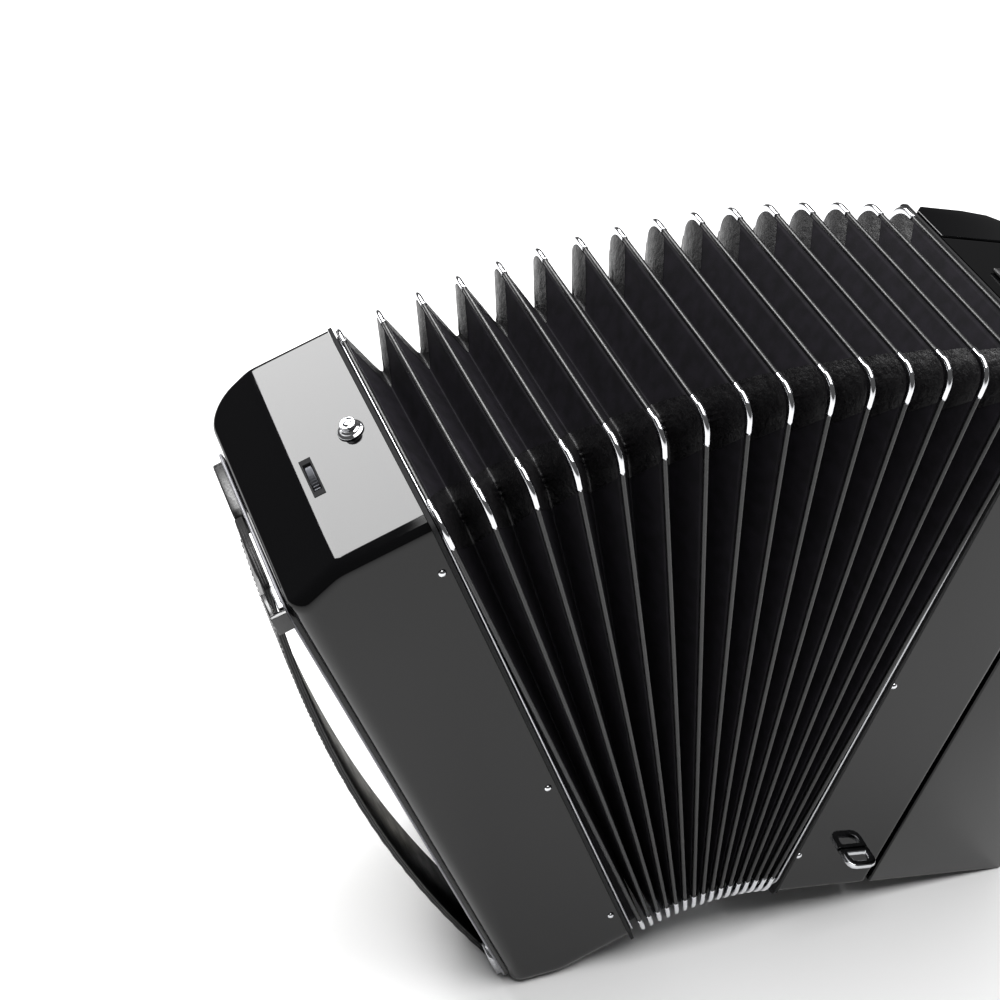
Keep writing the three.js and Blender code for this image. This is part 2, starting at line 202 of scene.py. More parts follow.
def add(material, kind, links=None, settings=None, **values):
    """Add one node: values set its inputs, settings its options, links its incoming sockets."""
    node = material.node_tree.nodes.new(kind)
    for option, value in (settings or {}).items():
        setattr(node, option, value)
    for socket, value in values.items():
        node.inputs[socket.replace("_", " ")].default_value = value
    for socket, source in (links or {}).items():
        material.node_tree.links.new(source, node.inputs[socket])
    return node


def finish(name, colour, roughness, metallic=0.0, **more):
    """A named material with one Principled shader whose plain values are set on its sockets."""
    material = bpy.data.materials.new(name)
    material.use_nodes = True
    material.node_tree.nodes.clear()
    shader = add(material, "ShaderNodeBsdfPrincipled", Base_Color=linear(colour),
                 Roughness=roughness, Metallic=metallic, **more)
    add(material, "ShaderNodeOutputMaterial", {"Surface": shader.outputs["BSDF"]})
    material.diffuse_color = linear(colour)
    return material, shader


def wire(material, source, target):
    material.node_tree.links.new(source, target)


def places(material):
    """Object coordinates, which are row-frame metres on every finished piece."""
    return add(material, "ShaderNodeTexCoord").outputs["Object"]


def two_tone(material, shader, pattern, dark, light, low=0.35, high=0.65):
    """Colour between two tones where a pattern runs from low to high."""
    ramp = add(material, "ShaderNodeValToRGB", {"Fac": pattern})
    ramp.color_ramp.elements[0].position = low
    ramp.color_ramp.elements[1].position = high
    ramp.color_ramp.elements[0].color = linear(dark)
    ramp.color_ramp.elements[1].color = linear(light)
    wire(material, ramp.outputs["Color"], shader.inputs["Base Color"])


def rough_between(material, shader, pattern, low, high):
    """Roughness that wanders between two values with a pattern."""
    spread = add(material, "ShaderNodeMapRange", {"Value": pattern},
                 From_Min=0.3, From_Max=0.7, To_Min=low, To_Max=high)
    wire(material, spread.outputs["Result"], shader.inputs["Roughness"])


def raised(material, shader, height, millimetres, strength=1.0, under=None):
    """Bump whose full height is given in millimetres."""
    links = {"Height": height}
    if under is not None:
        links["Normal"] = under
    bump = add(material, "ShaderNodeBump", links, Strength=strength, Distance=millimetres / 1000)
    wire(material, bump.outputs["Normal"], shader.inputs["Normal"])
    return bump.outputs["Normal"]


def noise(material, size, detail=3.0, roughness=0.5, at=None):
    """Noise whose features are about size millimetres across."""
    coordinates = places(material) if at is None else at
    node = add(material, "ShaderNodeTexNoise", {"Vector": coordinates}, Scale=1000 / size,
               Detail=detail, Roughness=roughness)
    return node.outputs["Fac"]

# %% [markdown]
# ### Celluloid lacquer
# The boxes are wood skinned with black celluloid and buffed.  It is almost a
# black mirror, but the buffing leaves a faint long waviness and the handled
# skin a little uneven gloss, so both are in the finish.

# %% Celluloid
celluloid, shader = finish("buffed_black_celluloid", "#050506", 0.05, IOR=1.38)
wave = noise(celluloid, 55, detail=1.0)
rough_between(celluloid, shader, noise(celluloid, 18), 0.035, 0.07)
raised(celluloid, shader, wave, 0.08, 0.2)
# Pale grey for the plate's edge bead: a painted highlight for the bright line along its rounded
# edge.
plate_edge_painted_highlight, shader = finish("grey_painted_edge_highlight", "#77777c", 0.3, IOR=1.5)
rough_between(plate_edge_painted_highlight, shader, noise(plate_edge_painted_highlight, 4), 0.25, 0.4)
print("lacquer ready")

# %% [markdown]
# ### Bellows cloth
# The folds are card covered with thin black bookcloth, a plain weave of about
# two threads to the millimetre that is matt with a slight violet cast.  The
# weave is drawn from two crossed waves at that spacing.

# %% Bookcloth
def woven(material, spacing):
    """Two crossed sine waves multiplied: a plain weave of that spacing in mm.

    A wave texture of scale 1 repeats about 3.2 times in a metre.
    """
    at = places(material)
    waves = [add(material, "ShaderNodeTexWave", {"Vector": at},
                 {"bands_direction": axis, "wave_profile": "SIN"}, Scale=1000 / spacing / 3.2)
             for axis in ("Y", "DIAGONAL")]
    mix = add(material, "ShaderNodeMath", {0: waves[0].outputs["Fac"], 1: waves[1].outputs["Fac"]},
              {"operation": "MULTIPLY"})
    return mix.outputs["Value"]


bookcloth, shader = finish("black_bookcloth", "#17161a", 0.72, IOR=1.3)
shader.inputs["Specular IOR Level"].default_value = 0.22
weave = woven(bookcloth, 0.7)
two_tone(bookcloth, shader, noise(bookcloth, 9), "#121114", "#19171c")
raised(bookcloth, shader, weave, 0.08, 0.5)

tape, shader = finish("calendered_binding_tape", "#0c0c0d", 0.34, IOR=1.5)
grain = noise(tape, 1.6, detail=4.0)
rough_between(tape, shader, grain, 0.26, 0.44)
raised(tape, shader, grain, 0.06, 0.6)

felt, shader = finish("pressed_black_felt", "#121213", 0.9, IOR=1.4, Sheen_Weight=0.03)
fibre = noise(felt, 1.2, detail=6.0, roughness=0.8)
two_tone(felt, shader, fibre, "#0c0c0d", "#1c1c1e", 0.3, 0.75)
raised(felt, shader, fibre, 0.35, 0.9)

# %% [markdown]
# ### Leather
# Two leathers: thin glazed skiver in the corners of the folds, which creases
# sharply, and the thicker strap leather with a rounder grain.  Both grains are
# cells of a Voronoi pattern; the skiver has long creases over them.

# %% Leathers
def leather(name, colour, roughness, cell, crease, crease_height):
    material, shader = finish(name, colour, roughness, IOR=1.5)
    at = places(material)
    cells = add(material, "ShaderNodeTexVoronoi", {"Vector": at},
                {"feature": "DISTANCE_TO_EDGE"}, Scale=1000 / cell).outputs["Distance"]
    shader.inputs["Specular IOR Level"].default_value = 0.36
    fold = noise(material, crease, detail=5.0, roughness=0.65)
    rough_between(material, shader, fold, roughness - 0.08, roughness + 0.12)
    grain = raised(material, shader, cells, 0.12, 0.6)
    raised(material, shader, fold, crease_height, 0.8, grain)
    return material


skiver = leather("glazed_gusset_skiver", "#0c0b0d", 0.42, 0.9, 5.0, 1.4)
hide = leather("black_strap_leather", "#131213", 0.42, 1.1, 14.0, 0.9)
thread, shader = finish("waxed_black_thread", "#2c2b2d", 0.6, IOR=1.45)
raised(thread, shader, noise(thread, 0.5), 0.1, 0.8)

# %% [markdown]
# ### Metals and plastics
# Chrome plate is a clean mirror with the faintest haze; pressed trim is
# satin; the wheel is dark knurled steel.  Keys and buttons are cast plastic,
# ivory and ebony coloured, polished on the playing side.

# %% Metals and plastics
def metal(name, colour, roughness, size, spread=0.05, **more):
    material, shader = finish(name, colour, roughness, 1.0, **more)
    rough_between(material, shader, noise(material, size), max(roughness - spread, 0.02),
                  roughness + spread)
    raised(material, shader, noise(material, size * 0.6), 0.02, 0.3)
    return material


chrome = metal("bright_chrome_plate", "#dcdde0", 0.09, 6)
satin = metal("satin_nickel_trim", "#b9babd", 0.3, 2)
steel = metal("drawn_steel_rod", "#8c8e93", 0.28, 1)
wheel_steel = metal("dark_knurled_steel", "#55565a", 0.42, 1)


def plastic(name, colour, roughness, second):
    material, shader = finish(name, colour, roughness, IOR=1.49, Coat_Weight=0.2)
    shader.inputs["Coat Roughness"].default_value = 0.08
    two_tone(material, shader, noise(material, 30, detail=2.0), colour, second)
    rough_between(material, shader, noise(material, 7), roughness - 0.05, roughness + 0.05)
    return material


ivory = plastic("cast_ivory_plastic", "#ece8dc", 0.2, "#e4dfd0")
ebony = plastic("cast_ebony_plastic", "#0f0f10", 0.22, "#161617")

maple, shader = finish("reed_block_maple", "#b98f5e", 0.55, IOR=1.45)
stretch = add(maple, "ShaderNodeMapping", {"Vector": places(maple)})
stretch.inputs["Scale"].default_value = (1.0, 1.0, 0.08)
rings = noise(maple, 3, detail=4.0, at=stretch.outputs["Vector"])
two_tone(maple, shader, rings, "#a77c4b", "#c9a172", 0.4, 0.6)
raised(maple, shader, rings, 0.1, 0.4)
print("materials:", len(bpy.data.materials))

# %% [markdown]
# ## The bellows
# Each fold is two cards that meet in a ridge outside and a valley inside,
# with cloth hinges at both.  The outline of a fold at any depth below its
# ridge is a rounded rectangle, so the whole V between two ridges is a loop
# swept through that family of outlines.  A flat fan of planes would ignore
# the corners; a sweep carries the fold round them without a seam.

# %% Outlines of a fold
BACK_DEPTH, FRONT_DEPTH = 95.0, 101.0
RIDGE_CORNER = 14.0
CARD_WIDTH = 30.0
HALF_RIDGE = 1.5
SIDE_STEPS, CORNER_STEPS = 14, 8


def outline(inset, corner):
    """Rounded rectangle inset from the ridge line, in y and z.

    Each side runs straight between its two corner arcs, and each arc turns a
    quarter circle, so equal index means equal place on every outline.
    """
    back, front = BACK_DEPTH - inset - corner, corner + inset - FRONT_DEPTH
    low, high = R_LOW + inset + corner, R_HIGH - inset - corner
    centres = [(back, high, 0), (front, high, 90), (front, low, 180), (back, low, 270)]
    points = []
    for (cy, cz, start), (ny, nz, _) in zip(centres, centres[1:] + centres[:1]):
        turn = np.radians(start + np.linspace(0, 90, CORNER_STEPS))
        arc = np.stack([cy + corner * np.cos(turn), cz + corner * np.sin(turn)], 1)
        end = np.radians(start + 90)
        last = np.array([ny + corner * np.cos(end), nz + corner * np.sin(end)])
        share = np.linspace(0, 1, SIDE_STEPS + 2)[1:-1, None]
        points += [arc, arc[-1] + (last - arc[-1]) * share]
    return np.concatenate(points)


def outlines(inset, corner):
    """One outline for each inset in an array: shape (insets, points, 2)."""
    return np.stack([outline(i, c) for i, c in zip(inset, corner)])


STEPS = len(outline(0, RIDGE_CORNER))
print("points round a fold:", STEPS)

# %% [markdown]
# ### Ridges
# Binding tape is folded over every ridge.  It makes a slim bead about 3 mm
# thick that catches a line of light, and laps a few millimetres down each
# card.  The section is a rounded nose that narrows inwards.

# %% Ridge beads
def bead_section(half, depth, steps=7):
    """Nose and two flanks: x is across the ridge, inset is down from its crest."""
    turn = np.linspace(np.pi, 0, steps)
    x = np.concatenate([[-half * 0.72], half * np.cos(turn), [half * 0.72]])
    inset = np.concatenate([[depth], half - half * np.sin(turn), [depth]])
    return x, inset


def swept_band(angle, x, inset):
    """A closed section carried round a fold, with corners tighter further in."""
    line = outlines(inset, np.maximum(RIDGE_CORNER - inset * 0.3, 6.0))
    return station(angle, x[:, None], line[..., 0], line[..., 1])


def fold_body(k):
    """The first ridge is fixed to the bass box and the last to the treble box."""
    if k == 0:
        return "bass"
    return "treble" if k == FOLDS - 1 else f"fold_{k + 1:02d}_body"


TAPE_LAP = 8.0
section = bead_section(HALF_RIDGE, TAPE_LAP)
for k in range(FOLDS):
    band = swept_band(fold_angle(k), *section)
    faces = grid_faces(len(section[0]), STEPS, wrap_u=True, wrap_v=True)
    mesh = write_mesh(f"ridge_{k + 1:02d}", band, faces)
    piece(mesh.name, mesh, tape, fold_body(k), [f"fold_{k + 1:02d}"])
print("ridges:", FOLDS, "faces each:", len(faces))

# %% [markdown]
# ### Folded cards
# Between two ridges the cards drop to a valley.  A card keeps its width, so
# where the fan is open wide the valley is shallower: half the gap, the depth
# and the card are the sides of a right triangle.  The share of the way from
# one ridge to the next is also the share of the turn between them, which
# closes the fan exactly.

# %% Cards between ridges
def valley_depth(z):
    """Depth from the card's width and half the gap between ridges at that height."""
    half_gap = z * np.radians(FOLD_ANGLE) / 2
    return np.sqrt(CARD_WIDTH ** 2 - half_gap ** 2)


SHALLOW, DEEP = 2.0, 28.0


def fold_surface(k, across, lift):
    """Points of the V after ridge k: across runs 0 to 1, lift raises it outwards in mm.

    The inset grows in a straight line from the ridge to the valley and back,
    with the valley itself softened.  Each point then lies on the straight
    line between a shallow outline and a deep one with corners a tenth rounder.
    """
    bend = 1 - np.abs(2 * across - 1)
    soft = bend - 0.05 * np.exp(-((1 - bend) / 0.08) ** 2)
    depth = valley_depth(outline(0, RIDGE_CORNER)[:, 1])
    inset = SHALLOW + soft[:, None] * (depth[None, :] - SHALLOW) - lift
    shallow = outline(SHALLOW, RIDGE_CORNER)
    deep = outline(DEEP, RIDGE_CORNER + 0.1 * DEEP)
    share = (inset - SHALLOW) / (DEEP - SHALLOW)
    line = shallow[None] + (deep - shallow)[None] * share[..., None]
    start = HALF_RIDGE * 0.8 / (line[..., 1] * np.radians(FOLD_ANGLE))
    place = start + across[:, None] * (1 - 2 * start)
    points = station(fold_angle(k) - FOLD_ANGLE * place, 0, line[..., 0], line[..., 1])
    return points, np.broadcast_to(across[:, None], place.shape)


def share_the_turn(item, k):
    """Bake the piece's placement into its mesh; the tips a and b of ridges k + 1
    and k are found but not used, and nothing bends.

    Ridge k turns g = 15 - k gaps against the treble box, and the next one g - 1.
    """
    a = station(fold_angle(k + 1), 0, 0, R_HIGH)
    b = station(fold_angle(k), 0, 0, R_HIGH)
    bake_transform(item)


CARD_THICK = 1.2
OUTER = np.array([0, .06, .14, .24, .34, .42, .47, .5, .53, .58, .66, .76, .86, .94, 1.0])
INNER = OUTER[::-2]
for k in range(FOLDS - 1):
    outer, outer_share = fold_surface(k, OUTER, 0.0)
    inner, inner_share = fold_surface(k, INNER, -CARD_THICK)
    shell = np.concatenate([outer, inner])
    faces = grid_faces(len(shell), STEPS, wrap_u=True, wrap_v=True)
    mesh = write_mesh(f"cards_{k + 1:02d}", shell, faces)
    cards = piece(mesh.name, mesh, bookcloth)
    share_the_turn(cards, k)
print("card pairs:", FOLDS - 1, "faces each:", len(faces))

# %% [markdown]
# ### Leather gussets
# Card can't fold round a corner, so each valley has a soft leather gusset in
# its corners, glued over the cards in a shallow arch and crushed into small
# creases where the valley turns.  It is the same sweep lifted half a
# millimetre, cut to the corner, with sine creases that are deepest in the
# valley.

# %% Gussets
def fine_surface(k, across, lift, along):
    """The fold's surface at fractional places along its outline, by linear steps."""
    points, share = fold_surface(k, across, lift)
    low = np.floor(along).astype(int)
    part = (along - low)[None, :, None]
    a, b = points[:, low % STEPS], points[:, (low + 1) % STEPS]
    return a * (1 - part) + b * part, share[:, :1] * np.ones_like(along)[None]


HALF_ARC = (CORNER_STEPS - 1) / 2
REACH_SHORT, REACH_LONG = 1.05, 0.38


def gusset(k, corner_number, steps=26):
    """One corner's leather: arched ends, creases strongest where the valley turns.

    It reaches half the arc and a share of one outline step past it each way.
    The steps are longer on the instrument's long sides, so the share is less.
    """
    across = np.linspace(0.03, 0.97, 21)
    centre = corner_number * (CORNER_STEPS + SIDE_STEPS) + HALF_ARC
    side = np.linspace(-1, 1, steps)
    points, share = [], []
    arch = 0.72 + 0.28 * np.sin(np.pi * across)
    ahead, behind = REACH_SHORT, REACH_LONG
    if corner_number % 2:
        ahead, behind = behind, ahead
    for v, a in zip(across, arch):
        reach_a, reach_b = HALF_ARC + ahead * a, HALF_ARC + behind * a
        along = centre + np.where(side < 0, side * reach_b, side * reach_a)
        valley = 1 - abs(2 * v - 1)
        turn = np.exp(-(side / 0.45) ** 2)
        crease = (np.sin(side * 31 + v * 9 + k) + 0.7 * np.sin(side * 53 - v * 17 + 2 * k)
                  + 0.6 * np.sin(v * 41 + side * 11 + corner_number))
        lift = 0.5 + 1.25 * valley ** 3 * turn * crease
        p0, s0 = fine_surface(k, np.array([v]), 0.0, along)
        p1, _ = fine_surface(k, np.array([v]), 1.0, along)
        points.append(p0[0] + (p1[0] - p0[0]) * lift[:, None])
        share.append(s0[0])
    return np.array(points), np.array(share)


for k in range(FOLDS - 1):
    parts, shares = [], []
    for number in range(4):
        points, share = gusset(k, number)
        parts.append((points, grid_faces(*points.shape[:2])))
        shares.append(share.ravel())
    points, faces = joined(parts)
    mesh = write_mesh(f"gussets_{k + 1:02d}", points, faces)
    leather_piece = piece(mesh.name, mesh, skiver)
    share_the_turn(leather_piece, k)
print("gusset corners:", 4 * (FOLDS - 1))

# %% [markdown]
# ### Chrome corners
# Every ridge corner wears a pressed chrome cap that keeps the tape from
# wearing through.  It is the ridge's own section, a little larger, carried
# only round the corner and 7.6 mm along each side past the curve.

# %% Corner caps
def cap_path(number, straight, steps):
    """Arc-length walk round one corner: straight, the quarter circle, straight.

    It gives the turn of the outward direction and the distance run past the
    arc, which is negative before it.
    """
    arc = RIDGE_CORNER * np.pi / 2
    s = np.linspace(-straight, arc + straight, steps)
    turn = np.clip(s / arc, 0, 1) * np.pi / 2
    return turn + number * np.pi / 2, np.minimum(s, 0) + np.maximum(s - arc, 0)


def corner_cap(k, number, straight=7.6, half=1.8, depth=9.5, proud=0.5):
    """Sweep the cap's section round the corner, standing proud of the ridge's tape."""
    turn, run = cap_path(number, straight, 26)
    to_back, to_top = [(1, 1), (-1, 1), (-1, -1), (1, -1)][number]
    cy = BACK_DEPTH - RIDGE_CORNER if to_back > 0 else RIDGE_CORNER - FRONT_DEPTH
    cz = R_MID + to_top * ((R_HIGH - R_LOW) / 2 - RIDGE_CORNER)
    x, inset = bead_section(half, depth, 9)
    ny, nz = np.cos(turn), np.sin(turn)
    radius = RIDGE_CORNER + proud - inset[:, None]
    y = cy + ny * radius - nz * run
    z = cz + nz * radius + ny * run
    return station(fold_angle(k), np.broadcast_to(x[:, None], y.shape), y, z)


def closed_sweep(points):
    """Faces of a swept section, with a lid of four-cornered faces on each end."""
    ns, nl = points.shape[:2]
    faces = grid_faces(ns, nl, wrap_u=True)
    i = np.arange(ns // 2)
    lids = []
    for end in (0, nl - 1):
        top, bottom = i * nl + end, (ns - 1 - i) * nl + end
        lids.append(np.stack([top[:-1], top[1:], bottom[1:], bottom[:-1]], 1))
    return np.concatenate([faces, *lids])


for k in range(FOLDS):
    caps = []
    for number in range(4):
        points = corner_cap(k, number)
        caps.append((points, closed_sweep(points)))
    points, faces = joined(caps)
    mesh = write_mesh(f"corner_caps_{k + 1:02d}", points, faces)
    piece(mesh.name, mesh, chrome, fold_body(k))
print("corner caps:", 4 * FOLDS)

# %% [markdown]
# ### Collars
# The first and last ridges stand close to their boxes, and a plain collar of
# card joins each to its box.  It is one loop of the same outlines from the
# ridge's plane to the box's plane.

# %% Collars at both ends
def collar(ridge, side):
    """Outer and inner loop between a ridge's plane and the face of the box beside it."""
    at_ridge = fold_angle(ridge), side * 0.8
    at_box = side * BOX_ANGLE, side * (BOX_GAP - 0.4)
    rows = []
    for inset, (angle, x) in ((6.5, at_ridge), (6.5, at_box), (8.5, at_box), (8.5, at_ridge)):
        line = outline(inset, 16.0)
        rows.append(station(angle, x, line[:, 0], line[:, 1]))
    return np.stack(rows)


BOTH_BOXES = (("bass", 1, 0), ("treble", -1, FOLDS - 1))
for body, side, ridge in BOTH_BOXES:
    mesh = write_mesh(f"{body}_collar", collar(ridge, side), grid_faces(4, STEPS, True, True),
                      smooth=False)
    piece(mesh.name, mesh, bookcloth, body)

# %% [markdown]
# ### Gaskets and trim
# A felt-faced frame seals each end of the bellows, and a narrow bright bead
# trims it beside the first ridge.  Both follow the same outline, each as one
# closed sweep: a flat ring and a round wire.

# %% Frame trim
TRIM_RADIUS = 1.1
for body, side, ridge in BOTH_BOXES:
    turn = np.linspace(0, 2 * np.pi, 9)[:-1]
    lines = outlines(3.4 - TRIM_RADIUS * np.sin(turn), np.full(8, 15.0))
    x = side * (BOX_GAP - 4.1 + TRIM_RADIUS * np.cos(turn))
    points = station(side * BOX_ANGLE, x[:, None], lines[..., 0], lines[..., 1])
    mesh = write_mesh(f"{body}_trim", points, grid_faces(8, STEPS, True, True))
    piece(mesh.name, mesh, satin, body)

# %% Felt gaskets
for body, side, ridge in BOTH_BOXES:
    loops = outlines(np.array([0.6, 0.6, 19, 19]), np.full(4, 5.0))
    x = side * (BOX_GAP - np.array([0.3, 2.8, 2.8, 0.3]))
    points = station(side * BOX_ANGLE, x[:, None], loops[..., 0], loops[..., 1])
    mesh = write_mesh(f"{body}_gasket", points, grid_faces(4, STEPS, True, True), smooth=False)
    piece(mesh.name, mesh, felt, body, [f"{body}_bellows_frame"])

# %% [markdown]
# ## Refined copies
# Keys, brackets and tabs have the right shape already, but real ones have no
# knife edges.  A copy of the solid is welded, its flats are made single
# faces, and a bevel rounds each edge by the amount a polisher would.

# %% Copies with rounded edges
def refined(node, material, body, width, segments=2):
    """A welded copy of a CAD node with flat faces and edges rounded by width millimetres."""
    mesh = frame["nodes"][node].data.copy()
    work = bmesh.new()
    work.from_mesh(mesh)
    bmesh.ops.remove_doubles(work, verts=work.verts, dist=2e-6)
    bmesh.ops.dissolve_limit(work, angle_limit=np.radians(1.0), verts=work.verts, edges=work.edges)
    for face in work.faces:
        face.smooth = True
    work.to_mesh(mesh)
    work.free()
    item = piece(f"{node}_finished", mesh, material, body, [node])
    return finish_edges(item, width, segments)


def body_of(node):
    bodies = frame["record"]["behaviour"]["bodies"]
    return next(body for body, nodes in bodies.items() if node in nodes)


def dress(node, material):
    """Give a CAD node whose shape is right its own finish."""
    slots = frame["nodes"][node].data.materials
    slots.clear()
    slots.append(material)


for node in ("bass_reed_block", "treble_reed_block"):
    dress(node, maple)
dress("key_axle", steel)

# %% [markdown]
# ## The bass box
# Seen from above the box has one large rounded corner at the front and a
# tight one at the back.  Both ends are flat near the bellows and slope away
# past a soft bend, and every end edge is rounded.  Each end is a grid of lines
# from front to back, the wall is a grid of rings, and between them the plan
# outline is inset by r (1 - cos t) and lowered by r (1 - sin t).

# %% Box skin
def cap_lines(x0, depth, y0, y1, front, back, insets):
    """Front and back points (x, y) of lines that run across a box from front to back.

    The first 16 lines stand at equal x on both sides, close together where
    the end bends.  After them the front line follows its large corner while
    the back line runs on straight and then turns its small one.  insets are
    for the front, the far side and the back.
    """
    at_front, at_far, at_back = insets
    straight = depth - front
    t = np.array([0, .5, 2, 8, 20, 34, 42.7, 49.3, 51, 52.5, 54, 55.5, 57, 58.5, 60, straight])
    turn = np.radians(np.linspace(0, 90, 13)[1:])
    run = np.linspace(straight, depth - back, 5)[1:]
    small = np.radians(np.linspace(0, 90, 9)[1:])
    front_t = np.concatenate([t, straight + (front - at_far) * np.sin(turn)])
    front_y = np.concatenate([y0 + at_front + 0 * t,
                              y0 + front - (front - at_front) * np.cos(turn)])
    back_t = np.concatenate([t, run, depth - back + (back - at_far) * np.sin(small)])
    back_y = np.concatenate([y1 - at_back + 0 * t, y1 - at_back + 0 * run,
                             y1 - back + (back - at_back) * np.cos(small)])
    sign = np.sign(x0)
    return (np.stack([x0 + sign * front_t, front_y], 1),
            np.stack([x0 + sign * back_t, back_y], 1))


def slope(x, start, run, drop, soft=1.6):
    """Depth of the sloping end at x: (drop / run) soft log(1 + exp((x - start) / soft))."""
    distance = np.clip((np.abs(x) - start) / soft, -30, 60)
    return drop / run * soft * np.log1p(np.exp(distance))


ACROSS = np.array([0, .004, .02, .08, .2, .35, .532, .716, .81, .92, .98, .996, 1])


def box_skin(angle, plan, radii, bend, slot=None):
    """Two end caps and a wall, each a regular grid, with a quarter-round between them.

    radii are the quarter-round's at the front, the far side and the back.
    slot names one cell of the upper cap, by line and place across, left open;
    such a box is also open behind its outer plate, where the buttons go in.
    """
    radii = np.array(radii)
    turn = np.radians(np.linspace(90, 0, 8))
    round_front = np.concatenate([np.full(16, radii[0]), np.linspace(radii[0], radii[1], 12)])
    round_back = np.concatenate([np.full(20, radii[2]), np.linspace(radii[2], radii[1], 8)])
    radius = np.concatenate([round_front, np.full(len(ACROSS) - 2, radii[1]), round_back[::-1]])
    parts, rims = [], []
    for end in (-1, 1):
        front, back = cap_lines(*plan, radii)
        cap = front[:, None] + (back - front)[:, None] * ACROSS[None, :, None]
        z = R_MID + end * (R_HIGH - R_MID - slope(cap[..., 0], *bend))
        faces = grid_faces(*z.shape)
        if slot and end > 0:
            faces = np.delete(faces, slot[0] * (z.shape[1] - 1) + slot[1], axis=0)
        parts.append((station(angle, cap[..., 0], cap[..., 1], z), faces))
        rings = []
        for t in turn:
            front, back = cap_lines(*plan, radii * (1 - np.cos(t)))
            far = front[-1] + (back[-1] - front[-1]) * ACROSS[1:-1, None]
            line = np.concatenate([front, far, back[::-1]])
            inner = np.concatenate([cap[:, 0], cap[-1, 1:-1], cap[::-1, -1]])
            drop = radius * (1 - np.sin(t)) + slope(inner[:, 0], *bend)
            rings.append(np.column_stack([line, R_MID + end * (R_HIGH - R_MID - drop)]))
        rims.append(np.array(rings)[::-1])
    low, high = rims
    share = np.array([.004, .02, .08, .2, .35, .5, .65, .8, .92, .98, .996])[:, None, None]
    wall = low[0] + (high[0] - low[0]) * share
    for rows in (low, np.concatenate([low[:1], wall, high[:1]]), high):
        faces = grid_faces(*rows.shape[:2])
        if slot and len(rows) > len(turn):
            row, column = np.divmod(np.arange(len(faces)), rows.shape[1] - 1)
            behind = (row > 2) & (row < 9) & (column > 29) & (column < 36)
            faces = faces[~behind]
        parts.append((station(angle, rows[..., 0], rows[..., 1], rows[..., 2]), faces))
    return joined(parts)


def thicken(item, millimetres):
    wall = item.modifiers.new("wall", "SOLIDIFY")
    wall.thickness = millimetres / 1000
    wall.offset = -1
    wall.use_rim = False


def block_shape(angle, x, y, z):
    """Eight corners and six faces of a box between pairs of station coordinates."""
    gx, gy, gz = np.meshgrid(x, y, z, indexing="ij")
    points = station(angle, gx, gy, gz).reshape(-1, 3)
    faces = [[0, 1, 3, 2], [4, 6, 7, 5], [0, 4, 5, 1], [2, 3, 7, 6], [0, 2, 6, 4], [1, 5, 7, 3]]
    return points, np.array(faces)


BOX_FRONT, BOX_BACK = -98.0, 90.5
BOX_WALL = 3.4
BASS_PLAN = (BOX_GAP, 88.5, BOX_FRONT, BOX_BACK, 24.0, 11.0)
FRONT_ROUND, FAR_ROUND, BACK_ROUND = 5.0, 3.5, 9.0
skin = box_skin(BOX_ANGLE, BASS_PLAN, (FRONT_ROUND, FAR_ROUND, BACK_ROUND),
                (BOX_GAP + 54, 34.5, 14.0), slot=(6, 6))
mesh = write_mesh("bass_box", *skin, merge=1e-6)
bass_box = piece("bass_box", mesh, celluloid, "bass", ["bass_casing"])
thicken(bass_box, BOX_WALL)
print("bass box faces:", len(bass_box.data.polygons))

# %% [markdown]
# ### Slot liner and mouth
# The strap wheel's slot is lined so that its sawn wall is hidden: a closed
# ring of rectangles that rises through the slot, turns over its lip and goes
# down inside.  A flat frame closes the box's wall at the bellows.

# %% Slot liner
WHEEL_X, WHEEL_Y, WHEEL_Z = BOX_GAP + 46, 15.5, R_HIGH - 18.7
sizes = np.array([(3.7, 16.2, -.1), (3.5, 16.0, .3), (2.7, 12.0, .3), (2.5, 11.8, 0),
                  (2.5, 11.8, -6), (3.7, 16.2, -6)])
turn_x, turn_y = np.array([1, -1, -1, 1]), np.array([1, 1, -1, -1])
liner = station(BOX_ANGLE, WHEEL_X + sizes[:, :1] * turn_x, WHEEL_Y + sizes[:, 1:2] * turn_y,
                R_HIGH + sizes[:, 2:] + 0 * turn_x)
mesh = write_mesh("slot_liner", liner, grid_faces(6, 4, True, True), smooth=False)
piece(mesh.name, mesh, felt, "bass")

# %% Mouth of the bass box
def mouth_loop(front, back, corner_front, corner_back):
    """Closed rounded rectangle in y and z, with its own radii at the front and the back."""
    turn = np.radians(np.linspace(0, 90, 5))
    y, z = [], []
    corners = ((back, corner_back, 1), (front, corner_front, 1),
               (front, corner_front, -1), (back, corner_back, -1))
    for quarter, (edge, r, up) in enumerate(corners):
        angle = turn + quarter * np.pi / 2
        y.append(edge - np.sign(edge) * r + r * np.cos(angle))
        z.append(R_MID + up * (R_HIGH - R_MID - r) + r * np.sin(angle))
    return np.concatenate(y), np.concatenate(z)


y, z = mouth_loop(BOX_FRONT, BOX_BACK, FRONT_ROUND, BACK_ROUND)
middle = (BOX_BACK + BOX_FRONT) / 2
shrink = np.array([.995, .88, .88, .995])[:, None]
x = BOX_GAP + np.array([0.05, 0.05, 3.0, 3.0])[:, None]
points = station(BOX_ANGLE, x, middle + (y - middle) * shrink,
                 R_MID + (z - R_MID) * (1 - (1 - shrink) * 0.4))
mesh = write_mesh("bass_mouth", points, grid_faces(4, len(y), True, True), smooth=False)
piece(mesh.name, mesh, celluloid, "bass")

# %% [markdown]
# ### Outer plate
# A flat cover screws over the mechanism.  A thin pale line runs all round its
# edge, the highlight on the rounded edge, and a narrow grey bead paints it in.

# %% Plate and its edge
refined("bass_bottom_plate", celluloid, "bass", 1.45, 5)


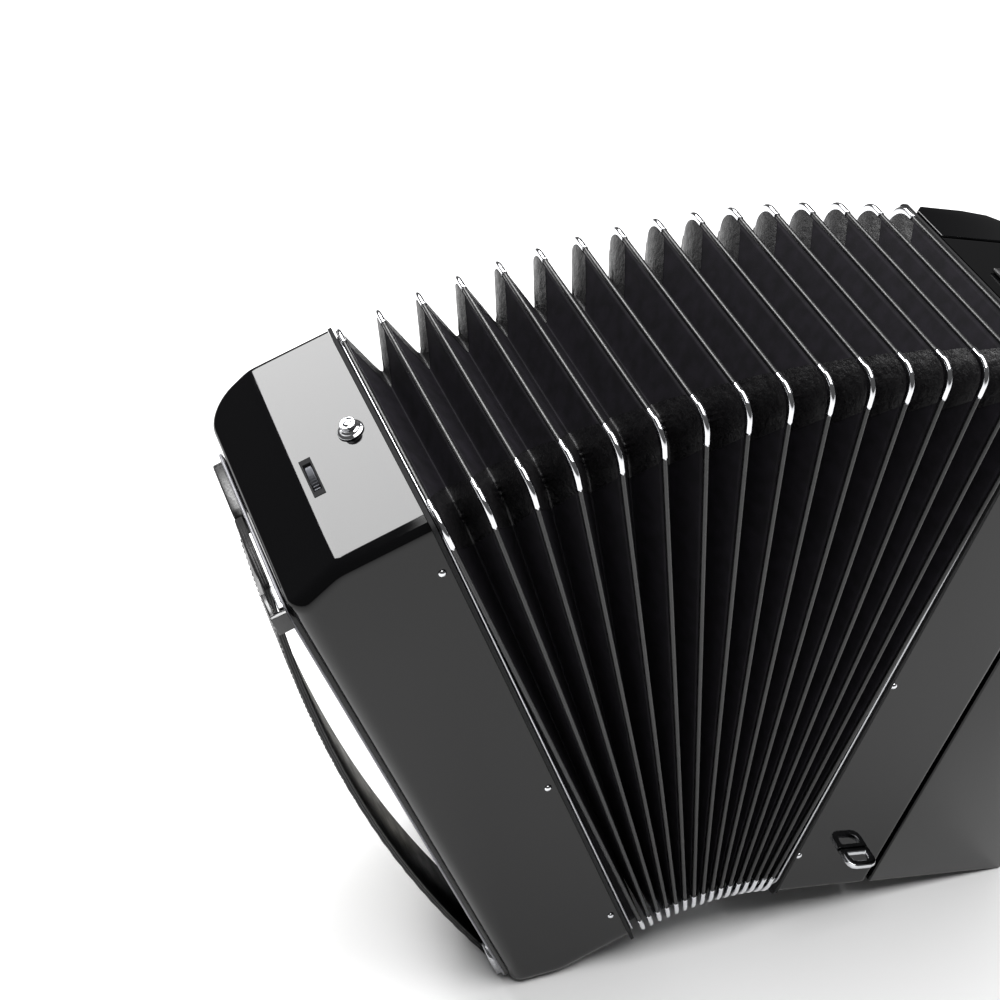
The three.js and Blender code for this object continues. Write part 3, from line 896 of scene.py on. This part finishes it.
def rounded_loop(y0, y1, z0, z1, radius, steps=9):
    """A closed rounded rectangle in y and z with one radius."""
    turn = np.linspace(0, np.pi / 2, steps)
    corners = [(y1 - radius, z1 - radius, 0), (y0 + radius, z1 - radius, 1),
               (y0 + radius, z0 + radius, 2), (y1 - radius, z0 + radius, 3)]
    return np.concatenate([np.stack([cy + radius * np.cos(turn + q * np.pi / 2),
                                     cz + radius * np.sin(turn + q * np.pi / 2)], 1)
                           for cy, cz, q in corners])


def bead_round(angle, loop, x, radius, steps=8):
    """A round bead swept along a closed loop that lies in a plane of constant x."""
    step = np.roll(loop, -1, 0) - np.roll(loop, 1, 0)
    normal = np.stack([step[:, 1], -step[:, 0]], 1)
    normal /= np.linalg.norm(normal, axis=1)[:, None]
    turn = np.linspace(0, 2 * np.pi, steps, endpoint=False)[:, None]
    y = loop[:, 0] + radius * np.cos(turn) * normal[:, 0]
    z = loop[:, 1] + radius * np.cos(turn) * normal[:, 1]
    points = station(angle, x + radius * np.sin(turn) + 0 * y, y, z)
    return points, grid_faces(steps, len(loop), True, True)


# The grey bead round the plate is a painted highlight along its edge.
edge = rounded_loop(-63, 84, R_LOW + 16, R_HIGH - 16, radius=12.5)
mesh = write_mesh("plate_edge_highlight_bead", *bead_round(BOX_ANGLE, edge, FACE_X - 1.4, radius=0.9))
piece(mesh.name, mesh, plate_edge_painted_highlight, "bass")

# %% [markdown]
# ### Turned pieces
# Studs, pins, buttons and the wheel are all turned: a profile of radius and
# height spun round an axis.  The snap stud's neck is narrower than its head,
# which is what the strap's spring grips.

# %% Turned pieces
def turned(profile, steps):
    """Spin (radius, height) pairs round the height axis: shape (profile, steps, 3)."""
    r, h = np.array(profile, float).T
    turn = np.linspace(0, 2 * np.pi, steps, endpoint=False)
    return np.stack([r[:, None] * np.cos(turn), r[:, None] * np.sin(turn),
                     h[:, None] + 0 * turn], -1), grid_faces(len(r), steps, wrap_v=True)


def stand(points, up, at):
    """Lay turned points so that their height runs along up, in station axes, from a point."""
    up = np.array(up, float)
    side = np.cross(up, [0.3, 0.5, 0.8])
    side /= np.linalg.norm(side)
    across = np.cross(up, side)
    return points @ np.stack([side, across, up]) + np.array(at)


def set_in(angle, points):
    return station(angle, points[..., 0], points[..., 1], points[..., 2])


STUD = [(0, 0), (7.9, 0), (8, .5), (7.7, .9), (6.9, 1.2), (6.1, 1.3), (5.9, 1.9), (5.7, 2.4),
        (4.6, 2.6), (4.4, 3.2), (4.4, 4.3), (4.9, 4.9), (5.1, 5.6), (4.9, 6.2), (4.3, 6.6),
        (3.7, 6.5), (3.3, 6.0), (2.9, 5.9), (2.4, 6.3), (1.3, 6.6), (0, 6.7)]
for name, end in (("top", 1), ("bottom", -1)):
    points, faces = turned(STUD, 40)
    height = R_MID + end * ((R_HIGH - R_LOW) / 2 + 0.3)
    points = set_in(BOX_ANGLE, stand(points, (0, 0, end), (BOX_GAP + 14.7, -5, height)))
    mesh = write_mesh(f"snap_stud_{name}", points, faces, merge=1e-6)
    piece(mesh.name, mesh, chrome, "bass", [f"strap_stud_{name}"])

PIN = [(0, 0), (2.6, 0), (2.5, .5), (2.2, 1.0), (1.6, 1.5), (0.8, 1.8), (0, 1.9)]
PINS_DOWN = (39, 263, 431)
for body, side, sides_pinned in (("bass", 1, (-1, 1)), ("treble", -1, (1,))):
    pins = []
    for face in sides_pinned:
        for down in PINS_DOWN:
            points, faces = turned(PIN, 20)
            at = (side * (BOX_GAP + 5), face * 90.4, R_HIGH - down)
            pins.append((set_in(side * BOX_ANGLE, stand(points, (0, face, 0), at)), faces))
    mesh = write_mesh(f"bellows_pins_{body}", *joined(pins), merge=1e-6)
    piece(mesh.name, mesh, chrome, body)

# %% [markdown]
# ### Strap wheel
# The wheel is knurled so that a thumb can turn it in its slot.  The rim is
# turned like the others and then toothed: its radius follows a triangle wave
# of 64 teeth.

# %% Strap wheel
TEETH, WHEEL_STEPS = 64, 256
profile = [(0, -9), (3, -9), (3, -2.3), (18.9, -2.3), (20.2, -2.1), (20.5, -1.7), (20.5, 1.7),
           (20.2, 2.1), (18.9, 2.3), (3, 2.3), (3, 15), (0, 15)]
points, faces = turned(profile, WHEEL_STEPS)
radius = np.hypot(points[..., 0], points[..., 1])
teeth = np.abs((np.arange(WHEEL_STEPS) / WHEEL_STEPS * TEETH) % 1 - 0.5) * 2
scale = np.where(radius > 19, 1 - 0.035 * teeth[None, :], 1.0)
points[..., :2] *= scale[..., None]
points = set_in(BOX_ANGLE, stand(points, (1, 0, 0), (WHEEL_X, WHEEL_Y, WHEEL_Z)))
mesh = write_mesh("thumb_wheel", points, faces, merge=1e-6, smooth=False)
piece(mesh.name, mesh, wheel_steel, "strap_wheel_body", ["strap_wheel"])

# %% [markdown]
# ### Bass buttons
# Six slanting rows of twenty domed buttons stand on one board.  Each button
# is a few dozen faces, because there are so many.

# %% Buttons
BUTTON = [(0, 0), (3.7, 0), (3.7, 6.2), (3.45, 7.2), (2.8, 7.9), (1.6, 8.25), (0, 8.35)]
shape, faces = turned(BUTTON, 14)
ROW_PITCH, COLUMN_PITCH, SLANT = 10.5, 16.4, 3.4
row, column = np.meshgrid(np.arange(6), np.arange(20), indexing="ij")
y = -54.8 + row * ROW_PITCH
z = R_MID + (column - 9.5) * COLUMN_PITCH + (row - 2.5) * SLANT
spots = np.stack([np.full(y.size, FACE_X - 3.2), y.ravel(), z.ravel()], 1)
buttons = [(set_in(BOX_ANGLE, stand(shape, (1, 0, 0), spot)), faces) for spot in spots]
mesh = write_mesh("bass_buttons", *joined(buttons), merge=1e-6)
piece(mesh.name, mesh, ivory, "button_bank_body", ["bass_button_bank"])
board = write_mesh("button_board", *block_shape(BOX_ANGLE, (FACE_X - 11, FACE_X - 1.8),
                                                (-60, 3), (205, 551)))
finish_edges(piece(board.name, board, ebony, "button_bank_body"), 1.0)
points, faces = turned([(0, 0), (9, 0), (9, 3), (7, 3.2), (7, 17), (6.4, 18), (4.5, 18.7),
                        (2, 18.9), (0, 19)], 36)
points = set_in(BOX_ANGLE, stand(points, (1, 0, 0), (FACE_X - 14, -48, 566)))
mesh = write_mesh("air_button_cap", points, faces, merge=1e-6)
piece(mesh.name, mesh, ivory, "air_button_body", ["air_button"])
print("buttons:", len(buttons))

# %% [markdown]
# ### Hand strap
# The strap is layered leather, bowed out so that a hand fits under it.  Its
# section is crowned outside, flat inside, with two fine grooves down each cut
# edge where the layers meet.  A row of stitches runs near each edge.

# %% Hand strap
STRAP_LOW, STRAP_HIGH = R_LOW + 19, R_HIGH - 15
STRAP_MIDDLE, STRAP_HALF, STRAP_THICK, STRAP_RISE = 31, 29.0, 5.0, 20
STITCH_INSET = 4.5


def strap_place(u):
    """Height and stand-off of the strap's inner face at u: the parabola 4 rise u (1 - u)."""
    rise = STRAP_RISE * 4 * u * (1 - u)
    return STRAP_LOW + (STRAP_HIGH - STRAP_LOW) * u, FACE_X + 0.4 + rise


def strap_section(half, thick):
    """Closed loop of (y, x): inner face, edge with two grooves, crowned outer face, edge."""
    levels = np.array([0.05, .2, .30, .36, .42, .58, .64, .70, .85, .97])
    groove = np.array([.5, 0, 0, .55, 0, 0, .55, 0, .1, .8])
    edge_y = half - groove
    crown = np.linspace(-1, 1, 13)[1:-1]
    outer_y = -crown * (half - 1.2)
    outer_x = thick * (1.0 - 0.10 * np.abs(crown) ** 4) + 0.25 * np.cos(crown * np.pi / 2)
    y = np.concatenate([edge_y, outer_y, -edge_y[::-1]])
    x = np.concatenate([levels * thick, outer_x, levels[::-1] * thick])
    return y, x


sy, sx = strap_section(STRAP_HALF, STRAP_THICK)
u = np.linspace(0, 1, 90)
height, off = strap_place(u)
ripple = (0.22 * np.sin(u * 71)[:, None] * np.sin(sy / 9)[None]
          + 0.18 * np.sin(u * 127 + 1)[:, None])
outer_side = np.clip(sx / STRAP_THICK, 0, 1)[None]
x = off[:, None] + sx[None] + ripple * outer_side
strap = station(BOX_ANGLE, x, STRAP_MIDDLE + sy[None] + 0 * x, height[:, None])
faces = grid_faces(len(u), len(sy), wrap_v=True)
n = len(sy)
ring = np.arange(n // 2)
lids = [np.stack([e * n + ring[:-1], e * n + ring[1:], e * n + n - 2 - ring[:-1],
                  e * n + n - 1 - ring[:-1]], 1) for e in (0, len(u) - 1)]
mesh = write_mesh("leather_hand_strap", strap, np.concatenate([faces, *lids]))
piece(mesh.name, mesh, hide, "bass", ["hand_strap"])

# %% Stitches
def stitches(path, across, up, length=3.0, radius=0.38):
    """One small capsule for each path point, lying along the path and a little sunk."""
    along = np.gradient(path, axis=0)
    along /= np.linalg.norm(along, axis=1)[:, None]
    shape, faces = turned([(0, -1), (.7, -.8), (1, -.4), (1, .4), (.7, .8), (0, 1)], 6)
    parts = []
    for p, a in zip(path, along):
        parts.append((p + shape[..., 2:] * a * length / 2 + shape[..., :1] * across * radius
                      + shape[..., 1:2] * up * radius, faces))
    return parts


parts = []
seam = STRAP_HALF - STITCH_INSET
for y in (STRAP_MIDDLE - seam, STRAP_MIDDLE + seam):
    u = np.linspace(0.03, 0.97, 88)
    height, off = strap_place(u)
    path = np.stack([off + STRAP_THICK, np.full_like(u, y), height], 1)
    parts += stitches(path, np.array([0, 1.0, 0]), np.array([1.0, 0, 0]))
parts = [(set_in(BOX_ANGLE, p), f) for p, f in parts]
mesh = write_mesh("hand_strap_stitches", *joined(parts), merge=1e-7)
piece(mesh.name, mesh, thread, "bass")

# %% [markdown]
# ### Strap fittings
# The upper fitting is a bright tongue that slides under a rounded black
# hook; the lower clamp is plain.  The guard is a moulded black block.

# %% Strap fittings
refined("strap_guard", tape, "bass", 1.2, 4)
refined("strap_bracket", ebony, "bass", 0.9, 3)
refined("strap_anchor", satin, "strap_anchor_body", 0.8)
refined("strap_clamp_bottom", satin, "bass", 0.8)

# %% [markdown]
# ## The treble box
# The same skin makes the treble casing, mirrored and cut short at the front,
# where the grille closes it.

# %% Treble casing, grille and keyboard bed
TREBLE_PLAN = (-BOX_GAP, 85, -56.0, BOX_BACK, 6.0, 5.0)
skin = box_skin(-BOX_ANGLE, TREBLE_PLAN, (3.0, 3.0, 3.0), (900, 1.0, 0.0))
mesh = write_mesh("treble_box", *skin, merge=1e-6)
treble_box = piece("treble_box", mesh, celluloid, "treble", ["treble_casing"])
thicken(treble_box, BOX_WALL)
refined("treble_grille", celluloid, "treble", 1.2, 3)
refined("keyboard_bed", celluloid, "treble", 1.5, 3)

# %% [markdown]
# ### Grille cloth
# Behind the slots hangs a perforated metal sheet that lets the sound out.

# %% Grille sheet
punched, shader = finish("punched_nickel_sheet", "#8d8e92", 0.35, 1.0)
holes = add(punched, "ShaderNodeTexVoronoi", {"Vector": places(punched)}, Scale=1000 / 3.2)
dots = add(punched, "ShaderNodeMath", {0: holes.outputs["Distance"]},
           {"operation": "GREATER_THAN"})
dots.inputs[1].default_value = 0.42
two_tone(punched, shader, dots.outputs["Value"], "#060606", "#9a9b9f")
sheet = write_mesh("grille_sheet",
                   *block_shape(-BOX_ANGLE, (-66, -26), (-89.6, -88.8), (178, 560)))
finish_edges(piece(sheet.name, sheet, punched, "treble"), 0.3)

# %% [markdown]
# ### Keys, tabs and brackets
# Every key gets its rounded edges from its own solid, so its fit in the row
# stays as it was made.

# %% Keys, tabs and brackets
for node in sorted(frame["nodes"]):
    if node.startswith("white_keys") or (node.startswith("key_") and len(node) == 5):
        refined(node, ivory, body_of(node), 0.9, 3)
    elif node.startswith("black_keys") or node.endswith("_sharp"):
        refined(node, ebony, body_of(node), 0.9, 3)
    elif node.startswith("register_tab"):
        refined(node, ivory, body_of(node), 1.2, 3)
    elif node.startswith("shoulder_bracket"):
        refined(node, chrome, "treble", 0.9, 3)

# %% [markdown]
# ### Bellows strap
# The unsnapped strap lies over the end of the treble box and hangs down its
# outer wall.  Its centre line is two straights joined by a quarter circle,
# and its section is a thin rounded rectangle.

# %% Bellows strap
def strap_over_edge(steps=50):
    """Arc-length walk: along the end face, round a small corner, down the wall."""
    corner_x, corner_z, r = -98.8, R_HIGH, 1.9
    top, down = 70.0, 59.0
    arc = r * np.pi / 2
    s = np.concatenate([np.linspace(0, top, 12), top + np.linspace(0, arc, 9)[1:],
                        top + arc + np.linspace(0, down, 12)[1:]])
    turn = np.clip((s - top) / arc, 0, 1) * np.pi / 2
    x = corner_x - r * np.sin(turn) + np.maximum(top - s, 0)
    z = corner_z - np.maximum(s - top - arc, 0) + r * np.cos(turn)
    return x, z, np.stack([-np.sin(turn), np.cos(turn)], 1)


px, pz, normal = strap_over_edge()
half_t, half_w = 1.1, 10.0
section_y = np.array([-1, -.97, -.9, 0, .9, .97, 1, 1, .97, .9, 0, -.9, -.97, -1]) * half_w
section_n = np.array([.5, .9, 1, 1.15, 1, .9, .5, -.5, -.9, -1, -1, -1, -.9, -.5]) * half_t
ends = np.clip(1 - ((np.arange(len(px)) - len(px) + 4) / 4.0).clip(0) ** 2 * 0.55, 0, 1)
x = px[:, None] + normal[:, :1] * section_n
z = pz[:, None] + normal[:, 1:] * section_n
strap = station(-BOX_ANGLE, x, -5 + section_y * ends[:, None], z)
faces = grid_faces(len(px), 14, wrap_v=True)
i = np.arange(6)
lid = np.stack([i, i + 1, 12 - i, 13 - i], 1)
mesh = write_mesh("leather_bellows_strap", strap,
                  np.concatenate([faces, lid, lid + 14 * (len(px) - 1)]))
piece(mesh.name, mesh, hide, "treble", ["bellows_strap"])
points, faces = turned([(0, 0), (6.5, 0), (6.4, .6), (5.6, 1.3), (3.4, 1.9), (0, 2.1)], 32)
snap = set_in(-BOX_ANGLE, stand(points, (-1, 0, 0), (-102.0, -5, R_HIGH - 50)))
screw = set_in(-BOX_ANGLE, stand(points * 0.7, (0, 0, 1), (-36, -5, R_HIGH + 3.0)))
mesh = write_mesh("bellows_strap_snap", *joined([(snap, faces), (screw, faces)]), merge=1e-6)
piece(mesh.name, mesh, chrome, "treble")

# %% [markdown]
# ## Floor and light
# The floor is pale paper.  One soft box behind the audience side is mirrored
# in the bass end face, and a large scrim overhead lights everything evenly.

# %% Floor, sky and lamps
def lamp(name, place, aim, size, power):
    data = bpy.data.lights.new(name, "AREA")
    data.shape = "RECTANGLE"
    data.size, data.size_y = size
    data.energy = power
    item = bpy.data.objects.new(name, data)
    bpy.context.collection.objects.link(item)
    item.location = place
    item.rotation_euler = (Vector(aim) - Vector(place)).to_track_quat("-Z", "Y").to_euler()
    return item


floor_mat, shader = finish("pale_studio_paper", "#f4f4f4", 0.9)
raised(floor_mat, shader, noise(floor_mat, 30), 0.05, 0.1)
x, y = np.meshgrid(np.linspace(-6, 6, 5), np.linspace(-6, 6, 5), indexing="ij")
floor_points = np.stack([x, y, np.zeros_like(x) - 0.0002], -1)
floor_mesh = write_mesh("floor", floor_points, grid_faces(5, 5), outward=False)
floor_mesh.materials.append(floor_mat)
floor = bpy.data.objects.new("floor", floor_mesh)
bpy.context.collection.objects.link(floor)

world = bpy.data.worlds.new("soft_room")
bpy.context.scene.world = world
world.use_nodes = True
sky = world.node_tree.nodes["Background"]
sky.inputs["Color"].default_value = (1, 1, 1, 1)
sky.inputs["Strength"].default_value = 0.1
bpy.context.scene.view_settings.view_transform = "Standard"
lamp("key_softbox", (0.80, -1.50, 1.72), (0.28, 0, 0.44), (1.3, 0.75), 47)
lamp("overhead_scrim", (-0.4, -0.4, 5.0), (-0.4, -0.4, 0), (5.5, 5.5), 480)

# %% The end
bpy.context.view_layer.update()
print("done")
